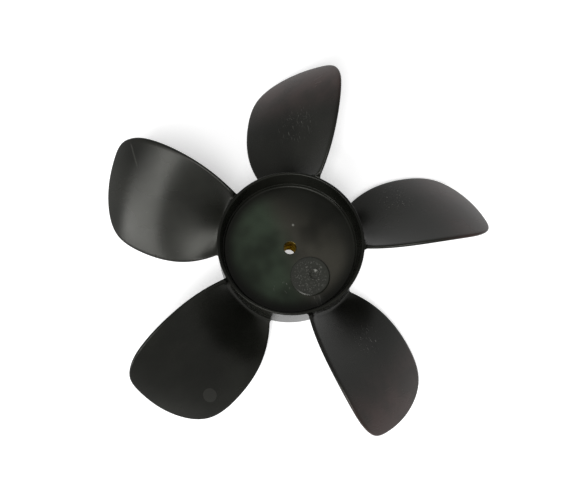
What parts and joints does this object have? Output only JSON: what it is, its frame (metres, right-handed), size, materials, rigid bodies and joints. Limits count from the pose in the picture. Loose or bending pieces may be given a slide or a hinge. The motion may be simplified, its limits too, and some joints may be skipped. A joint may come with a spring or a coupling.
{
  "type": "axial fan impeller",
  "caption": "Black plastic axial fan impeller: open cup hub with swept, cambered blades and a brass shaft bush in the middle.",
  "frame": {"origin": "on the shaft axis, in the middle of the bush's bore", "axes": "+Z along the shaft axis towards the open front of the hub cup, +X along the middle line of the first blade"},
  "size_m": [0.2411, 0.2461, 0.0558],
  "materials": {
    "black_plastic": "black moulded plastic with a soft sheen",
    "brass": "turned brass, slightly dull"
  },
  "bodies": {
    "root": {"impeller_moulding": "black_plastic", "hub_bush": "brass"}
  },
  "joints": []
}
